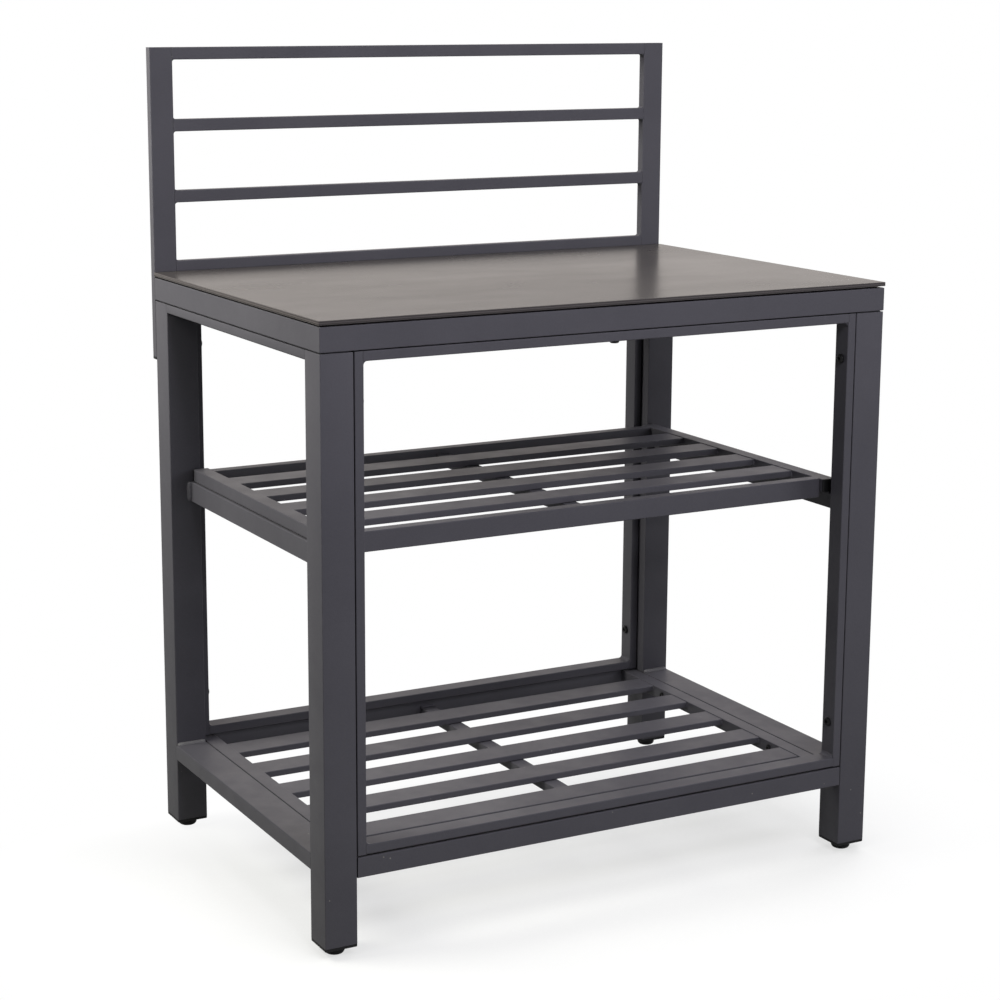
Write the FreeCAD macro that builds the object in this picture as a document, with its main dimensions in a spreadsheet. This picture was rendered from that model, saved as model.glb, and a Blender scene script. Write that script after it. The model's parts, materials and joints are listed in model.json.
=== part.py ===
"""Open outdoor kitchen table: tube frame, slab worktop, two slatted shelves and a rail back.

Millimetres. X runs to the right, Y to the back, Z up. The origin is on the floor, under the middle of the
whole object. The front is at negative Y.
"""
import FreeCAD, Part
import Sketcher
import os
import re

# Driving sizes of the table. Every piece takes its size and its place from these.
SIZES = {
    # Outside of the leg frame, and the height of the worktop above the floor.
    "overall_width": 940.0,
    "overall_depth": 626.0,
    "worktop_height": 908.0,
    # Legs and the general tube stock.
    "leg_size": 50.0,
    "leg_wall": 2.0,
    "tube_wall": 1.5,
    "edge_radius": 1.5,
    # Worktop slab, the pads under it and the apron tube that carries them.
    "panel_thickness": 6.0,
    "panel_overhang": 1.5,
    "panel_back_overhang": 0.6,
    "panel_corner": 2.0,
    "pad_height": 2.5,
    "pad_diameter": 14.0,
    "apron_height": 35.0,
    "apron_width": 30.0,
    # Rails that join the front and rear leg of each side.
    "side_top_height": 15.0,
    "side_top_width": 30.0,
    "side_bottom_height": 25.0,
    # Bolted frames between the legs, front and rear.
    "frame_face": 14.0,
    "frame_depth": 30.0,
    "frame_shelf_gap": 3.0,
    # Shelf stock, the same for both shelves.
    "rim_width": 20.0,
    "rim_height": 30.0,
    "side_rim_width": 25.0,
    "side_rim_height": 20.0,
    "slat_width": 50.0,
    "slat_thickness": 10.0,
    "slat_recess": 1.0,
    "crossbar_width": 25.0,
    "crossbar_height": 15.0,
    # Shelf levels, and the clearances of the shelf that lifts out.
    "lower_shelf_top": 144.5,
    "middle_shelf_top": 598.0,
    "middle_shelf_inset": 38.0,
    "middle_shelf_clearance": 1.0,
    "middle_rim_setback": 10.5,
    "plug_thickness": 3.0,
    "plug_depth": 12.0,
    # Angle profiles that the middle shelf sits on.
    "support_inset": 33.0,
    "support_height": 31.0,
    "support_width": 20.0,
    "support_thickness": 3.0,
    # Rail back behind the worktop.
    "post_width": 38.0,
    "post_depth": 15.0,
    "post_drop": 135.0,
    "post_cap_thickness": 4.0,
    "back_rise": 348.0,
    "back_rail_height": 19.0,
    "back_rail_drop": 3.0,
    # Leg caps and screw feet.
    "cap_thickness": 4.5,
    "cap_plug_depth": 18.0,
    "foot_exposed": 12.5,
    "foot_diameter": 30.0,
    "foot_pad_height": 9.0,
    "foot_chamfer": 2.0,
    "foot_collar_diameter": 16.0,
    "foot_stem_diameter": 8.0,
    "foot_stem_length": 22.0,
    "foot_seat_gap": 0.3,
    # Bolts of the frames, with round heads and hexagon sockets.
    "frame_bolt_diameter": 8.0,
    "frame_bolt_head": 14.0,
    "frame_bolt_head_height": 4.4,
    "frame_bolt_inset": 70.0,
    # Smaller bolts of the rail back and the lower shelf.
    "small_bolt_diameter": 6.0,
    "small_bolt_head": 10.5,
    "small_bolt_head_height": 3.3,
    "post_bolt_inset": 20.0,
    "post_bolt_pitch": 50.0,
    # Blind rivet nuts: their flange keeps the bolted piece off the tube that carries it.
    "nut_flange": 1.2,
    "nut_flange_rim": 2.0,
    "nut_wall": 1.5,
    "nut_length": 14.0,
    # Fits.
    "hole_clearance": 0.3,
    "thread_clearance": 0.1,
    "plug_clearance": 0.2,
    # Fillet welds.
    "weld_size": 4.5,
    "support_weld_size": 6.5,
}

LOWER_SLATS = 5
MIDDLE_SLATS = 4
BACK_RAILS = 4
SOCKET_SHARE = 0.34
SOCKET_DEPTH_SHARE = 0.6

# Levels and planes that several pieces share, written with the names of the sizes above.
LEFT = "(-overall_width / 2)"
RIGHT = "(overall_width / 2)"
FRONT = "((panel_overhang - overall_depth - nut_flange - post_depth - small_bolt_head_height) / 2)"
BACK = f"({FRONT} + overall_depth)"
LEG_BASE = "(foot_exposed + cap_thickness)"
APRON_BASE = "(worktop_height - panel_thickness - pad_height - apron_height)"
LEG_GAP_DEPTH = "(overall_depth - 2 * leg_size)"
FRAME_BASE = "(lower_shelf_top + frame_shelf_gap)"
FRAME_TOP = f"({APRON_BASE} - nut_flange)"
FRAME_HEIGHT = f"({FRAME_TOP} - {FRAME_BASE})"
INNER_LEFT = f"({LEFT} + leg_size + nut_flange)"
INNER_WIDTH = "(overall_width - 2 * leg_size - 2 * nut_flange)"
MIDDLE_LEFT = f"({LEFT} + middle_shelf_inset)"
MIDDLE_WIDTH = "(overall_width - 2 * middle_shelf_inset)"
MIDDLE_FRONT = f"({FRONT} + leg_size + middle_shelf_clearance)"
MIDDLE_DEPTH = "(overall_depth - 2 * leg_size - 2 * middle_shelf_clearance)"
MIDDLE_RIM_FRONT = f"({MIDDLE_FRONT} + middle_rim_setback)"
MIDDLE_RIM_DEPTH = f"({MIDDLE_DEPTH} - 2 * middle_rim_setback)"
SUPPORT_TOP = "(middle_shelf_top - side_rim_height)"
POST_BASE = "(worktop_height - post_drop)"
POST_FRONT = f"({BACK} + nut_flange)"

X, Y, Z = 0, 1, 2
UNIT = (FreeCAD.Vector(1, 0, 0), FreeCAD.Vector(0, 1, 0), FreeCAD.Vector(0, 0, 1))

doc = FreeCAD.newDocument("OutdoorKitchenTable")
sheet = doc.addObject("Spreadsheet::Sheet", "Dims")
nodes = {}
holes = {}


def fill_sheet():
    """Write each driving size into its own cell, under its own name."""
    for row, (name, value) in enumerate(SIZES.items(), start=1):
        sheet.set(f"A{row}", name)
        sheet.set(f"B{row}", str(value))
        sheet.setAlias(f"B{row}", name)
    doc.recompute()


def bind(thing, prop, formula):
    """Tie a property to the sheet: the names of sizes in the formula become cells."""
    def cell(word):
        return "Dims." + word[0] if word[0] in SIZES else word[0]

    thing.setExpression(prop, re.sub(r"[a-z][a-z_]+", cell, formula))


def place(thing, point, rotation=None):
    """Put a thing at a point given by three formulas, turned by a fixed rotation."""
    if rotation is not None:
        thing.Placement = FreeCAD.Placement(FreeCAD.Vector(), rotation)
    for letter, formula in zip("xyz", point):
        bind(thing, f".Placement.Base.{letter}", formula)


def along(axis):
    """Rotation that lays a profile's own Z along a main axis, and keeps the axes in cyclic order."""
    return FreeCAD.Rotation(UNIT[(axis + 1) % 3], UNIT[(axis + 2) % 3], UNIT[axis], "ZXY")


def upright_about(quarter_turns):
    """Rotation of a rail whose own Y stays up, turned about the vertical in quarter turns."""
    return FreeCAD.Rotation(UNIT[Z], 90 * quarter_turns) * along(X)


def shifted(point, axis, formula):
    """The point moved along one main axis by a formula."""
    return tuple(f"({value} + {formula})" if i == axis else value for i, value in enumerate(point))


def body_plane(body, role):
    """One of the body's own origin planes."""
    return next(plane for plane in body.Origin.OriginFeatures if plane.Role == role)


def new_sketch(body, role):
    sketch = body.newObject("Sketcher::SketchObject", "Sketch")
    sketch.AttachmentSupport = [(body_plane(body, role), "")]
    sketch.MapMode = "FlatFace"
    return sketch


def draw_outline(sketch, corners):
    """Closed outline of straight lines; each corner is held by two formulas from the sketch's origin."""
    first = sketch.GeometryCount
    count = len(corners)
    spots = [FreeCAD.Vector(1 + 3 * k, 1 + 2 * (k % 2) + k, 0) for k in range(count)]
    for k in range(count):
        sketch.addGeometry(Part.LineSegment(spots[k], spots[(k + 1) % count]), False)
    for k in range(count):
        sketch.addConstraint(Sketcher.Constraint("Coincident", first + k, 2, first + (k + 1) % count, 1))
    for k, (across, up) in enumerate(corners):
        for kind, formula in (("DistanceX", across), ("DistanceY", up)):
            index = sketch.addConstraint(Sketcher.Constraint(kind, -1, 1, first + k, 1, 1.0))
            bind(sketch, f"Constraints[{index}]", formula)


def rectangle(margin, width, height):
    """Corners of a rectangle that stands in from (0, 0) and (width, height) by a margin."""
    far_x = f"({width} - {margin})"
    far_y = f"({height} - {margin})"
    return [(margin, margin), (far_x, margin), (far_x, far_y), (margin, far_y)]


def pad(body, corners, length):
    sketch = new_sketch(body, "XY_Plane")
    draw_outline(sketch, corners)
    feature = body.newObject("PartDesign::Pad", "Pad")
    feature.Profile = sketch
    bind(feature, "Length", length)
    doc.recompute()
    return feature


def round_long_edges(body, feature, wanted=None):
    """Round the edges that run along the profile's own Z; wanted picks some of them by their place."""
    names = []
    for number, edge in enumerate(feature.Shape.Edges, start=1):
        start, end = edge.Vertexes[0].Point, edge.Vertexes[-1].Point
        runs_along = abs(start.x - end.x) < 1e-6 and abs(start.y - end.y) < 1e-6
        if runs_along and (wanted is None or wanted(start)):
            names.append(f"Edge{number}")
    rounding = body.newObject("PartDesign::Fillet", "Rounding")
    rounding.Base = (feature, names)
    bind(rounding, "Radius", "edge_radius")
    doc.recompute()
    return rounding


def hollow(body, width, height, wall, depth):
    """Take the bore out of a tube, from its start to the given depth."""
    solid_volume = body.Shape.Volume
    sketch = new_sketch(body, "XY_Plane")
    draw_outline(sketch, rectangle(wall, width, height))
    bore = body.newObject("PartDesign::Pocket", "Bore")
    bore.Profile = sketch
    bore.Reversed = True
    bind(bore, "Length", depth)
    doc.recompute()
    assert body.Shape.Volume < solid_volume, "the bore missed " + body.Label


def tube(label, axis, extents, point, wall="tube_wall", closed_end="0"):
    """Rectangular tube with rounded long edges, along a main axis; extents are its X, Y and Z sizes."""
    body = doc.addObject("PartDesign::Body", label)
    width = extents[(axis + 1) % 3]
    height = extents[(axis + 2) % 3]
    outside = pad(body, rectangle("0", width, height), extents[axis])
    round_long_edges(body, outside)
    hollow(body, width, height, wall, f"({extents[axis]} - {closed_end})")
    place(body, point, along(axis))
    nodes[label] = body


def slab(label, extents, point, radius):
    """Flat plate with rounded upright corners."""
    body = doc.addObject("PartDesign::Body", label)
    plate = pad(body, rectangle("0", extents[X], extents[Y]), extents[Z])
    rounding = round_long_edges(body, plate)
    bind(rounding, "Radius", radius)
    place(body, point)
    return body


def mitred_rail(label, length, quarter_turns, point):
    """Apron tube whose ends are cut at 45 degrees towards the inside of the frame."""
    body = doc.addObject("PartDesign::Body", label)
    outside = pad(body, rectangle("0", "apron_width", "apron_height"), length)
    round_long_edges(body, outside)
    hollow(body, "apron_width", "apron_height", "tube_wall", length)
    square_volume = body.Shape.Volume
    near = [("0", "0"), ("apron_width", "0"), ("apron_width", "apron_width")]
    far = [("0", length), ("apron_width", f"({length} - apron_width)"), ("apron_width", length)]
    sketch = new_sketch(body, "XZ_Plane")
    draw_outline(sketch, near)
    draw_outline(sketch, far)
    mitre = body.newObject("PartDesign::Pocket", "Mitres")
    mitre.Profile = sketch
    mitre.Type = "ThroughAll"
    doc.recompute()
    assert body.Shape.Volume < square_volume, "the mitres missed " + label
    place(body, point, upright_about(quarter_turns))
    nodes[label] = body


def angle_profile(label, length, quarter_turns, point):
    """Angle that carries a shelf: an outer leg that hangs down, and a ledge at its top, facing inwards."""
    body = doc.addObject("PartDesign::Body", label)
    under_ledge = "(support_height - support_thickness)"
    corners = [
        ("0", "0"),
        ("support_thickness", "0"),
        ("support_thickness", under_ledge),
        ("support_width", under_ledge),
        ("support_width", "support_height"),
        ("0", "support_height"),
    ]
    profile = pad(body, corners, length)
    round_long_edges(body, profile, lambda spot: abs(spot.x) < 1e-6 and spot.y > 1e-6)
    place(body, point, upright_about(quarter_turns))
    nodes[label] = body


def cylinder(name, radius, height, point, rotation=None):
    shape = doc.addObject("Part::Cylinder", name)
    bind(shape, "Radius", radius)
    bind(shape, "Height", height)
    place(shape, point, rotation)
    return shape


def cone(name, radius_start, radius_end, height, point, rotation=None):
    shape = doc.addObject("Part::Cone", name)
    bind(shape, "Radius1", radius_start)
    bind(shape, "Radius2", radius_end)
    bind(shape, "Height", height)
    place(shape, point, rotation)
    return shape


def block(name, extents, point):
    shape = doc.addObject("Part::Box", name)
    for prop, formula in zip(("Length", "Width", "Height"), extents):
        bind(shape, prop, formula)
    place(shape, point)
    return shape


def join(name, shapes):
    fused = doc.addObject("Part::MultiFuse", name)
    fused.Shapes = shapes
    return fused


def cut(name, base, tool):
    result = doc.addObject("Part::Cut", name)
    result.Base = base
    result.Tool = tool
    return result


def group(label, shapes):
    """Several like pieces in one node, as separate solids."""
    compound = doc.addObject("Part::Compound", label)
    compound.Links = shapes
    nodes[label] = compound


def towards(axis, sign):
    """Rotation that points a fastener's own Z along a main axis, forwards or backwards."""
    return FreeCAD.Rotation(UNIT[Z], UNIT[axis] * sign)


class Fastener:
    """Round-head bolt and blind rivet nut on one line: head, clamped piece, flange, carrier."""

    def __init__(self, name, stock, seat, axis, sign, clamped, clamped_node, carrier_node, carrier_wall):
        self.name = name
        self.stock = stock
        self.seat = seat
        self.axis = axis
        self.sign = sign
        self.turn = towards(axis, sign)
        self.clamped = clamped
        self.drill(clamped_node, f"{stock}_diameter / 2 + hole_clearance", "0", clamped)
        start = f"({clamped} + nut_flange)"
        self.drill(carrier_node, f"{self.nut_radius()} + hole_clearance", start, carrier_wall)

    def nut_radius(self):
        return f"({self.stock}_diameter / 2 + nut_wall)"

    def at(self, offset):
        """Point on the line, this far behind the face that the head sits on."""
        return shifted(self.seat, self.axis, f"{self.sign} * ({offset})")

    def drill(self, node, radius, offset, depth):
        hole = cylinder(f"{self.name}_hole", radius, depth, self.at(offset), self.turn)
        holes.setdefault(node, []).append(hole)

    def bolt(self):
        stock = self.stock
        head_radius = f"({stock}_head / 2)"
        head_height = f"{stock}_head_height"
        dome_radius = f"(({head_radius} ^ 2 + {head_height} ^ 2) / (2 * {head_height}))"
        head = doc.addObject("Part::Sphere", f"{self.name}_head")
        bind(head, "Radius", dome_radius)
        bind(head, "Angle1", f"asin(({dome_radius} - {head_height}) / {dome_radius})")
        place(head, self.at(f"{dome_radius} - {head_height}"), towards(self.axis, -self.sign))
        length = f"({self.clamped} + nut_flange + nut_length)"
        shank = cylinder(f"{self.name}_shank", f"{stock}_diameter / 2", length, self.at("0"), self.turn)
        socket = doc.addObject("Part::Prism", f"{self.name}_socket")
        socket.Polygon = 6
        bind(socket, "Circumradius", f"{head_radius} * {SOCKET_SHARE}")
        bind(socket, "Height", f"{head_height} * {SOCKET_DEPTH_SHARE}")
        place(socket, self.at(f"-{head_height}"), self.turn)
        return cut(f"{self.name}_bolt", join(f"{self.name}_blank", [head, shank]), socket)

    def nut(self):
        flange_start = self.at(self.clamped)
        flange = cylinder(f"{self.name}_flange", f"{self.nut_radius()} + nut_flange_rim", "nut_flange",
                          flange_start, self.turn)
        sleeve = cylinder(f"{self.name}_sleeve", self.nut_radius(), "nut_flange + nut_length",
                          flange_start, self.turn)
        thread = cylinder(f"{self.name}_thread", f"{self.stock}_diameter / 2 + thread_clearance",
                          "nut_flange + nut_length", flange_start, self.turn)
        return cut(f"{self.name}_nut", join(f"{self.name}_nut_blank", [flange, sleeve]), thread)


def corner_bead(name, axis, quarter_turns, length, point, size="weld_size"):
    """Fillet weld in an inside corner: a quarter round along a main axis."""
    turn = along(axis) * FreeCAD.Rotation(UNIT[Z], 90 * quarter_turns)
    bead = cylinder(name, size, length, point, turn)
    bead.Angle = 90
    return bead


def make_legs():
    height = f"({APRON_BASE} - {LEG_BASE})"
    size = ("leg_size", "leg_size", height)
    for end, y in (("front", FRONT), ("rear", f"({BACK} - leg_size)")):
        for side, x in (("left", LEFT), ("right", f"({RIGHT} - leg_size)")):
            tube(f"leg_{end}_{side}", Z, size, (x, y, LEG_BASE), wall="leg_wall")


def make_side_rails():
    behind_leg = f"({FRONT} + leg_size)"
    top_size = ("side_top_width", LEG_GAP_DEPTH, "side_top_height")
    top_level = f"({APRON_BASE} - side_top_height)"
    bottom_size = ("leg_size", LEG_GAP_DEPTH, "side_bottom_height")
    bottom_level = "(lower_shelf_top - side_bottom_height)"
    tube("side_top_rail_left", Y, top_size, (LEFT, behind_leg, top_level))
    tube("side_top_rail_right", Y, top_size, (f"({RIGHT} - side_top_width)", behind_leg, top_level))
    tube("side_bottom_rail_left", Y, bottom_size, (LEFT, behind_leg, bottom_level))
    tube("side_bottom_rail_right", Y, bottom_size, (f"({RIGHT} - leg_size)", behind_leg, bottom_level))


def make_shelf_supports():
    level = f"({SUPPORT_TOP} - support_height)"
    rear_end = (f"({LEFT} + support_inset)", f"({BACK} - leg_size)", level)
    front_end = (f"({RIGHT} - support_inset)", f"({FRONT} + leg_size)", level)
    angle_profile("shelf_support_left", LEG_GAP_DEPTH, 3, rear_end)
    angle_profile("shelf_support_right", LEG_GAP_DEPTH, 1, front_end)


def make_bolted_frames():
    rail_length = f"({INNER_WIDTH} - 2 * frame_face)"
    stile_size = ("frame_face", "frame_depth", FRAME_HEIGHT)
    rail_size = (rail_length, "frame_depth", "frame_face")
    far_stile = f"({INNER_LEFT} + {INNER_WIDTH} - frame_face)"
    rail_start = f"({INNER_LEFT} + frame_face)"
    for end, y in (("front", FRONT), ("rear", f"({BACK} - frame_depth)")):
        tube(f"{end}_frame_stile_left", Z, stile_size, (INNER_LEFT, y, FRAME_BASE))
        tube(f"{end}_frame_stile_right", Z, stile_size, (far_stile, y, FRAME_BASE))
        tube(f"{end}_frame_bottom_rail", X, rail_size, (rail_start, y, FRAME_BASE))
        tube(f"{end}_frame_top_rail", X, rail_size, (rail_start, y, f"({FRAME_TOP} - frame_face)"))


def make_apron():
    mitred_rail("apron_front", "overall_width", 0, (LEFT, FRONT, APRON_BASE))
    mitred_rail("apron_right", "overall_depth", 1, (RIGHT, FRONT, APRON_BASE))
    mitred_rail("apron_rear", "overall_width", 2, (RIGHT, BACK, APRON_BASE))
    mitred_rail("apron_left", "overall_depth", 3, (LEFT, BACK, APRON_BASE))


def make_worktop():
    size = (
        "(overall_width + 2 * panel_overhang)",
        "(overall_depth + panel_overhang + panel_back_overhang)",
        "panel_thickness",
    )
    underside = "(worktop_height - panel_thickness)"
    corner = (f"({LEFT} - panel_overhang)", f"({FRONT} - panel_overhang)", underside)
    nodes["worktop_panel"] = slab("worktop_panel", size, corner, "panel_corner")
    level = f"({APRON_BASE} + apron_height)"
    inner = "apron_width / 2"
    columns = (f"({LEFT} + {inner})", "0", f"({RIGHT} - {inner})")
    rows = (f"({FRONT} + {inner})", f"(({FRONT} + {BACK}) / 2)", f"({BACK} - {inner})")
    spots = [(x, y) for x in columns for y in rows if (x, y) != (columns[1], rows[1])]
    pads = [cylinder("panel_pad", "pad_diameter / 2", "pad_height", (x, y, level)) for x, y in spots]
    group("worktop_pads", pads)


def make_slats(prefix, count, left, width, front, depth, top):
    """Slats between the side rims, evenly spaced between the front and the rear rim."""
    space = f"(({depth} - 2 * rim_width - {count} * slat_width) / {count + 1})"
    length = f"({width} - 2 * side_rim_width)"
    level = f"({top} - slat_recess - slat_thickness)"
    for k in range(count):
        y = f"({front} + rim_width + {k + 1} * {space} + {k} * slat_width)"
        start = (f"({left} + side_rim_width)", y, level)
        tube(f"{prefix}_slat_{k + 1}", X, (length, "slat_width", "slat_thickness"), start)
    bar_start = ("(-crossbar_width / 2)", f"({front} + rim_width)", f"({level} - crossbar_height)")
    bar_size = ("crossbar_width", f"({depth} - 2 * rim_width)", "crossbar_height")
    tube(f"{prefix}_crossbar", Y, bar_size, bar_start)
    return space


def make_lower_shelf():
    """Shelf bolted between the side rails; its front and rear rims run from leg to leg."""
    rim_size = (INNER_WIDTH, "rim_width", "rim_height")
    rim_level = "(lower_shelf_top - rim_height)"
    tube("lower_shelf_front_rim", X, rim_size, (INNER_LEFT, FRONT, rim_level))
    tube("lower_shelf_rear_rim", X, rim_size, (INNER_LEFT, f"({BACK} - rim_width)", rim_level))
    side_size = ("side_rim_width", "(overall_depth - 2 * rim_width)", "side_rim_height")
    side_start = f"({FRONT} + rim_width)"
    side_level = "(lower_shelf_top - side_rim_height)"
    far_side = f"({INNER_LEFT} + {INNER_WIDTH} - side_rim_width)"
    tube("lower_shelf_side_rim_left", Y, side_size, (INNER_LEFT, side_start, side_level))
    tube("lower_shelf_side_rim_right", Y, side_size, (far_side, side_start, side_level))
    return make_slats("lower_shelf", LOWER_SLATS, INNER_LEFT, INNER_WIDTH, FRONT, "overall_depth",
                      "lower_shelf_top")


def make_end_plug(name, point, inwards):
    """Plug of an open tube end: a flange over the end, and a boss that reaches into the bore."""
    flange = block(f"{name}_flange", ("side_rim_width", "plug_thickness", "side_rim_height"), point)
    margin = "(tube_wall + plug_clearance)"
    boss_size = (f"(side_rim_width - 2 * {margin})", "plug_depth", f"(side_rim_height - 2 * {margin})")
    reach = "plug_thickness" if inwards > 0 else "(-plug_depth)"
    boss_point = shifted(shifted(shifted(point, X, margin), Z, margin), Y, reach)
    return join(name, [flange, block(f"{name}_boss", boss_size, boss_point)])


def make_middle_shelf():
    """Shelf that sits loose on the two angles and lifts out."""
    rim_size = (f"({MIDDLE_WIDTH} - 2 * side_rim_width)", "rim_width", "rim_height")
    rim_start = f"({MIDDLE_LEFT} + side_rim_width)"
    rim_level = "(middle_shelf_top - rim_height)"
    rear = f"({MIDDLE_FRONT} + {MIDDLE_DEPTH})"
    rear_rim = f"({rear} - middle_rim_setback - rim_width)"
    tube("middle_shelf_front_rim", X, rim_size, (rim_start, MIDDLE_RIM_FRONT, rim_level))
    tube("middle_shelf_rear_rim", X, rim_size, (rim_start, rear_rim, rim_level))
    side_size = ("side_rim_width", f"({MIDDLE_DEPTH} - 2 * plug_thickness)", "side_rim_height")
    columns = {"left": MIDDLE_LEFT, "right": f"({MIDDLE_LEFT} + {MIDDLE_WIDTH} - side_rim_width)"}
    plugs = []
    for side, x in columns.items():
        start = (x, f"({MIDDLE_FRONT} + plug_thickness)", SUPPORT_TOP)
        tube(f"middle_shelf_side_rim_{side}", Y, side_size, start)
        plugs.append(make_end_plug(f"plug_front_{side}", (x, MIDDLE_FRONT, SUPPORT_TOP), 1))
        plugs.append(make_end_plug(f"plug_rear_{side}", (x, f"({rear} - plug_thickness)", SUPPORT_TOP), -1))
    group("middle_shelf_end_plugs", plugs)
    make_slats("middle_shelf", MIDDLE_SLATS, MIDDLE_LEFT, MIDDLE_WIDTH, MIDDLE_RIM_FRONT, MIDDLE_RIM_DEPTH,
               "middle_shelf_top")


def make_rail_back():
    post_size = ("post_width", "post_depth", "(post_drop + back_rise)")
    rail_size = ("(overall_width - 2 * post_width)", "post_depth", "back_rail_height")
    pitch = f"((back_rise + back_rail_drop - back_rail_height) / {BACK_RAILS - 1})"
    caps = []
    for side, x in (("left", LEFT), ("right", f"({RIGHT} - post_width)")):
        tube(f"back_post_{side}", Z, post_size, (x, POST_FRONT, POST_BASE), closed_end="tube_wall")
        caps.append(make_post_cap(f"post_cap_{side}", x))
    for k in range(BACK_RAILS):
        level = f"(worktop_height - back_rail_drop + {k} * {pitch})"
        tube(f"back_rail_{k + 1}", X, rail_size, (f"({LEFT} + post_width)", POST_FRONT, level))
    group("back_post_caps", caps)


def make_post_cap(name, x):
    flange_point = (x, POST_FRONT, f"({POST_BASE} - post_cap_thickness)")
    flange = block(f"{name}_flange", ("post_width", "post_depth", "post_cap_thickness"), flange_point)
    margin = "(tube_wall + plug_clearance)"
    boss_size = (f"(post_width - 2 * {margin})", f"(post_depth - 2 * {margin})", "plug_depth")
    boss_point = (f"({x} + {margin})", f"({POST_FRONT} + {margin})", POST_BASE)
    return join(name, [flange, block(f"{name}_boss", boss_size, boss_point)])


def make_leg_caps_and_feet():
    """Square caps in the leg ends, each with a screw foot in its middle."""
    margin = "(leg_wall + plug_clearance)"
    plug_size = f"(leg_size - 2 * {margin})"
    caps = []
    for end, y in (("front", FRONT), ("rear", f"({BACK} - leg_size)")):
        for side, x in (("left", LEFT), ("right", f"({RIGHT} - leg_size)")):
            name = f"{end}_{side}"
            flange = slab(f"cap_flange_{name}", ("leg_size", "leg_size", "cap_thickness"),
                          (x, y, "foot_exposed"), "edge_radius")
            plug = block(f"cap_plug_{name}", (plug_size, plug_size, "cap_plug_depth"),
                         (f"({x} + {margin})", f"({y} + {margin})", LEG_BASE))
            centre_x, centre_y = f"({x} + leg_size / 2)", f"({y} + leg_size / 2)"
            thread = cylinder(f"cap_thread_{name}", "foot_stem_diameter / 2 + thread_clearance",
                              "cap_thickness + cap_plug_depth", (centre_x, centre_y, "foot_exposed"))
            caps.append(cut(f"cap_{name}", join(f"cap_blank_{name}", [flange, plug]), thread))
            make_foot(f"foot_{name}", centre_x, centre_y)
    group("leg_caps", caps)


def make_foot(label, x, y):
    """Glide foot: a round pad with a bevelled sole, a collar, and a stem that screws into the cap."""
    radius = "foot_diameter / 2"
    sole = cone(f"{label}_sole", f"{radius} - foot_chamfer", radius, "foot_chamfer", (x, y, "0"))
    disc = cylinder(f"{label}_disc", radius, "foot_pad_height - foot_chamfer", (x, y, "foot_chamfer"))
    collar = cylinder(f"{label}_collar", "foot_collar_diameter / 2",
                      "foot_exposed - foot_pad_height - foot_seat_gap", (x, y, "foot_pad_height"))
    stem = cylinder(f"{label}_stem", "foot_stem_diameter / 2", "foot_stem_length + foot_seat_gap",
                    (x, y, "(foot_exposed - foot_seat_gap)"))
    nodes[label] = join(label, [sole, disc, collar, stem])


def make_fasteners(slat_space):
    """Bolts and rivet nuts, with the holes that they need in the tubes."""
    frame_stock = [fastener for end in ("front", "rear") for fastener in frame_fasteners(end)]
    small_stock = post_fasteners() + shelf_fasteners(slat_space)
    group("frame_bolts", [fastener.bolt() for fastener in frame_stock])
    group("small_bolts", [fastener.bolt() for fastener in small_stock])
    group("rivet_nuts", [fastener.nut() for fastener in frame_stock + small_stock])


def frame_fasteners(end):
    """Two bolts through each stile into the leg beside it, and one up through the top rail to the apron."""
    middle = f"({FRONT} + frame_depth / 2)" if end == "front" else f"({BACK} - frame_depth / 2)"
    levels = (f"({FRAME_BASE} + frame_bolt_inset)", f"({FRAME_TOP} - frame_bolt_inset)")
    found = []
    for z in levels:
        left_seat = (f"({INNER_LEFT} + frame_face)", middle, z)
        right_seat = (f"({INNER_LEFT} + {INNER_WIDTH} - frame_face)", middle, z)
        found.append(Fastener(f"{end}_left", "frame_bolt", left_seat, X, -1, "frame_face",
                              f"{end}_frame_stile_left", f"leg_{end}_left", "leg_wall"))
        found.append(Fastener(f"{end}_right", "frame_bolt", right_seat, X, 1, "frame_face",
                              f"{end}_frame_stile_right", f"leg_{end}_right", "leg_wall"))
    top_seat = ("0", middle, f"({FRAME_TOP} - frame_face)")
    found.append(Fastener(f"{end}_top", "frame_bolt", top_seat, Z, 1, "frame_face",
                          f"{end}_frame_top_rail", f"apron_{end}", "tube_wall"))
    return found


def post_fasteners():
    """Two bolts from behind through each post of the rail back into the rear leg."""
    found = []
    for side, x in (("left", f"({LEFT} + post_width / 2)"), ("right", f"({RIGHT} - post_width / 2)")):
        for k in range(2):
            z = f"({POST_BASE} + post_bolt_inset + {k} * post_bolt_pitch)"
            seat = (x, f"({POST_FRONT} + post_depth)", z)
            found.append(Fastener(f"post_{side}", "small_bolt", seat, Y, -1, "post_depth",
                                  f"back_post_{side}", f"leg_rear_{side}", "leg_wall"))
    return found


def shelf_fasteners(slat_space):
    """Two bolts from inside through each side rim of the lower shelf, beyond its outermost slats."""
    z = "(lower_shelf_top - side_rim_height / 2)"
    inwards = f"(rim_width + 1.5 * {slat_space} + slat_width)"
    rows = (f"({FRONT} + {inwards})", f"({BACK} - {inwards})")
    found = []
    for y in rows:
        left_seat = (f"({INNER_LEFT} + side_rim_width)", y, z)
        right_seat = (f"({INNER_LEFT} + {INNER_WIDTH} - side_rim_width)", y, z)
        found.append(Fastener("shelf_left", "small_bolt", left_seat, X, -1, "side_rim_width",
                              "lower_shelf_side_rim_left", "side_bottom_rail_left", "tube_wall"))
        found.append(Fastener("shelf_right", "small_bolt", right_seat, X, 1, "side_rim_width",
                              "lower_shelf_side_rim_right", "side_bottom_rail_right", "tube_wall"))
    return found


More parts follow.
